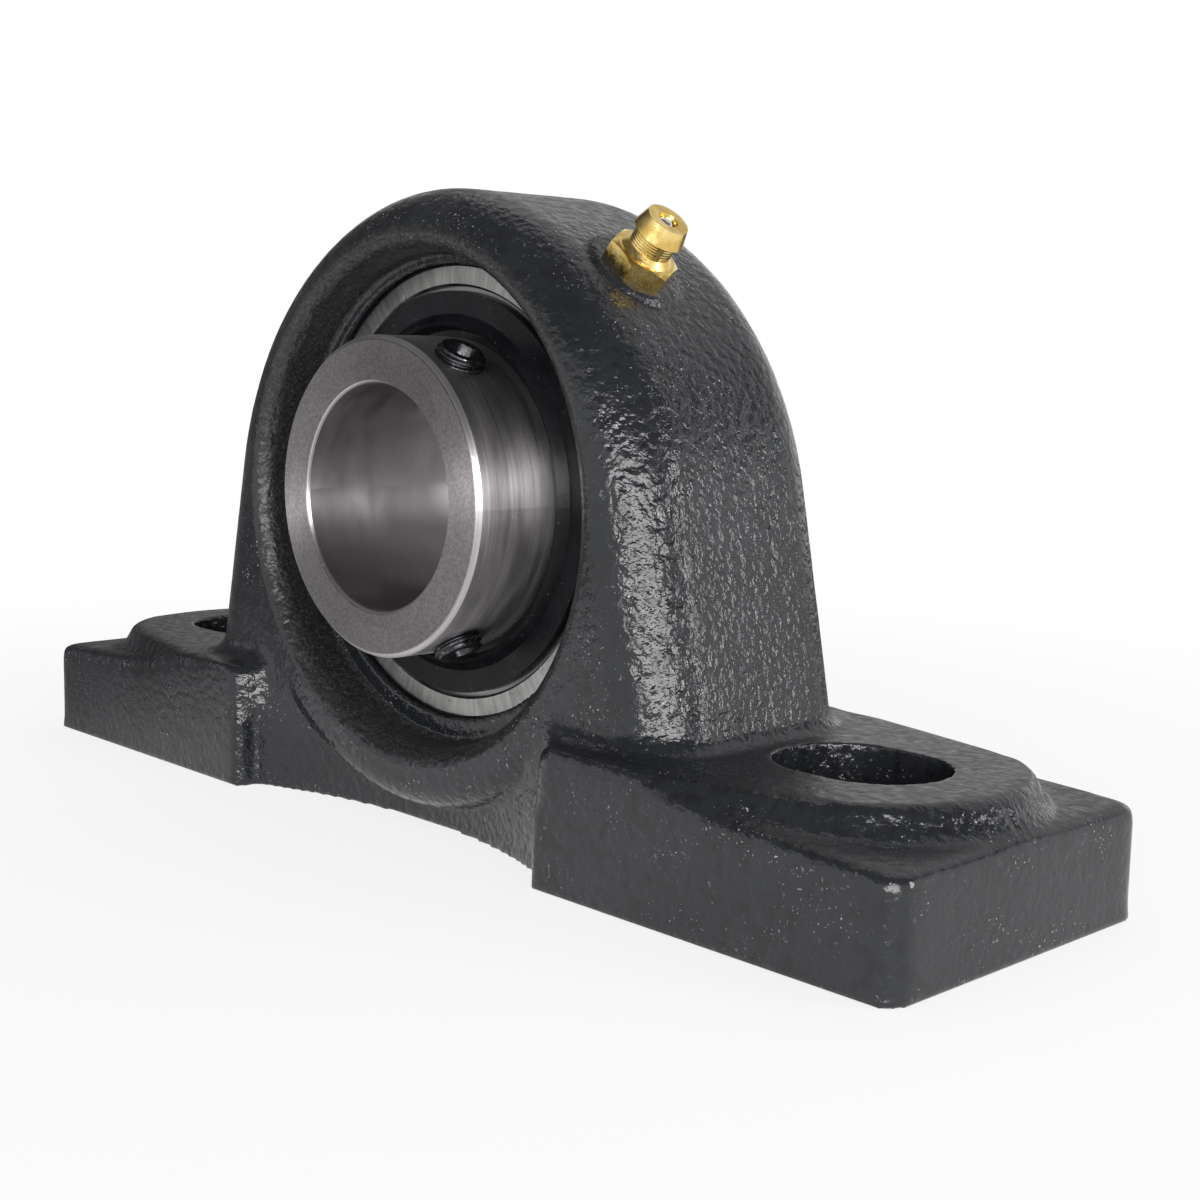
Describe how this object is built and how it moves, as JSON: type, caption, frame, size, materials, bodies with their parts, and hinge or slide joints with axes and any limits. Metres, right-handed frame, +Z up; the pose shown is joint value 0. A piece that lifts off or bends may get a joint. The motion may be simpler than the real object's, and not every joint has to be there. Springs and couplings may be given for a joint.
{
  "type": "pillow block bearing",
  "caption": "Two-bolt pillow block: a cast housing with slotted feet that holds a sealed, self-aligning ball-bearing insert with set-screw locking and a grease nipple.",
  "frame": {"origin": "in the base plane, under the middle of the bearing", "axes": "+X along the feet, +Y along the shaft away from the set screws, +Z up"},
  "size_m": [0.1654, 0.0458, 0.0816],
  "materials": {
    "housing_enamel": "dark grey enamel over a sand casting, satin",
    "ring_steel": "ground",
    "inner_ring_steel": "ground, with a matt face",
    "cage_steel": "pressed strip",
    "rivet_steel": "bright",
    "seal_steel": "pressed, dull",
    "seal_rubber": "matt moulded",
    "flinger_enamel": "smooth black, semi-gloss",
    "black_oxide": "black oxide",
    "nipple_brass": "turned and plated",
    "ball_steel": "polished",
    "spring_steel": "bright wire"
  },
  "bodies": {
    "pillow_block": {"housing": "housing_enamel", "grease_nipple_body": "nipple_brass", "grease_nipple_spring": "spring_steel"},
    "outer_race": {"outer_ring": "ring_steel", "seal_front_carrier": "seal_steel", "seal_front_lip": "seal_rubber", "seal_rear_carrier": "seal_steel", "seal_rear_lip": "seal_rubber"},
    "inner_race": {"inner_ring": "inner_ring_steel", "flinger_front": "flinger_enamel", "flinger_rear": "flinger_enamel"},
    "cage": {"cage_front": "cage_steel", "cage_rear": "cage_steel", "cage_rivets": "rivet_steel"},
    "upper_screw": {"set_screw_upper": "black_oxide"},
    "lower_screw": {"set_screw_lower": "black_oxide"},
    "nipple_check": {"grease_nipple_ball": "ball_steel"},
    "ball_1": {"ball_1": "ball_steel"},
    "ball_2": {"ball_2": "ball_steel"},
    "ball_3": {"ball_3": "ball_steel"},
    "ball_4": {"ball_4": "ball_steel"},
    "ball_5": {"ball_5": "ball_steel"},
    "ball_6": {"ball_6": "ball_steel"},
    "ball_7": {"ball_7": "ball_steel"},
    "ball_8": {"ball_8": "ball_steel"},
    "ball_9": {"ball_9": "ball_steel"}
  },
  "joints": [
    {"name": "self_align", "type": "hinge", "parent": "pillow_block", "child": "outer_race", "pos_m": [0, 0, 0.0429], "axis": [1, 0, 0], "range_deg": [-3, 3]},
    {"name": "shaft_spin", "type": "hinge", "parent": "outer_race", "child": "inner_race", "pos_m": [0, 0, 0.0429], "axis": [0, 1, 0], "continuous": true},
    {"name": "cage_spin", "type": "hinge", "parent": "outer_race", "child": "cage", "pos_m": [0, 0, 0.0429], "axis": [0, 1, 0], "continuous": true},
    {"name": "ball_1_spin", "type": "hinge", "parent": "cage", "child": "ball_1", "pos_m": [0, 0, 0.0659], "axis": [0, 1, 0], "continuous": true},
    {"name": "ball_2_spin", "type": "hinge", "parent": "cage", "child": "ball_2", "pos_m": [-0.01478, 0, 0.06052], "axis": [0, 1, 0], "continuous": true},
    {"name": "ball_3_spin", "type": "hinge", "parent": "cage", "child": "ball_3", "pos_m": [-0.02265, 0, 0.04689], "axis": [0, 1, 0], "continuous": true},
    {"name": "ball_4_spin", "type": "hinge", "parent": "cage", "child": "ball_4", "pos_m": [-0.01992, 0, 0.0314], "axis": [0, 1, 0], "continuous": true},
    {"name": "ball_5_spin", "type": "hinge", "parent": "cage", "child": "ball_5", "pos_m": [-0.00787, 0, 0.02129], "axis": [0, 1, 0], "continuous": true},
    {"name": "ball_6_spin", "type": "hinge", "parent": "cage", "child": "ball_6", "pos_m": [0.00787, 0, 0.02129], "axis": [0, 1, 0], "continuous": true},
    {"name": "ball_7_spin", "type": "hinge", "parent": "cage", "child": "ball_7", "pos_m": [0.01992, 0, 0.0314], "axis": [0, 1, 0], "continuous": true},
    {"name": "ball_8_spin", "type": "hinge", "parent": "cage", "child": "ball_8", "pos_m": [0.02265, 0, 0.04689], "axis": [0, 1, 0], "continuous": true},
    {"name": "ball_9_spin", "type": "hinge", "parent": "cage", "child": "ball_9", "pos_m": [0.01478, 0, 0.06052], "axis": [0, 1, 0], "continuous": true},
    {"name": "upper_screw_feed", "type": "slide", "parent": "inner_race", "child": "upper_screw", "axis": [0.5, 0, 0.866], "range_m": [-0.0008, 0.0025]},
    {"name": "lower_screw_feed", "type": "slide", "parent": "inner_race", "child": "lower_screw", "axis": [0.5, 0, -0.866], "range_m": [-0.001, 0.0025]},
    {"name": "nipple_check_lift", "type": "slide", "parent": "pillow_block", "child": "nipple_check", "axis": [0.682, 0, 0.7314], "range_m": [-0.0012, 0], "stiffness_N_per_m": 250, "springref_m": 0.001, "deforming": ["grease_nipple_spring"]}
  ],
  "couplings": [
    {"joint": "cage_spin", "follows": "shaft_spin", "ratio": 0.39647},
    {"joint": "ball_1_spin", "follows": "shaft_spin", "ratio": -2.3112},
    {"joint": "ball_2_spin", "follows": "shaft_spin", "ratio": -2.3112},
    {"joint": "ball_3_spin", "follows": "shaft_spin", "ratio": -2.3112},
    {"joint": "ball_4_spin", "follows": "shaft_spin", "ratio": -2.3112},
    {"joint": "ball_5_spin", "follows": "shaft_spin", "ratio": -2.3112},
    {"joint": "ball_6_spin", "follows": "shaft_spin", "ratio": -2.3112},
    {"joint": "ball_7_spin", "follows": "shaft_spin", "ratio": -2.3112},
    {"joint": "ball_8_spin", "follows": "shaft_spin", "ratio": -2.3112},
    {"joint": "ball_9_spin", "follows": "shaft_spin", "ratio": -2.3112}
  ]
}
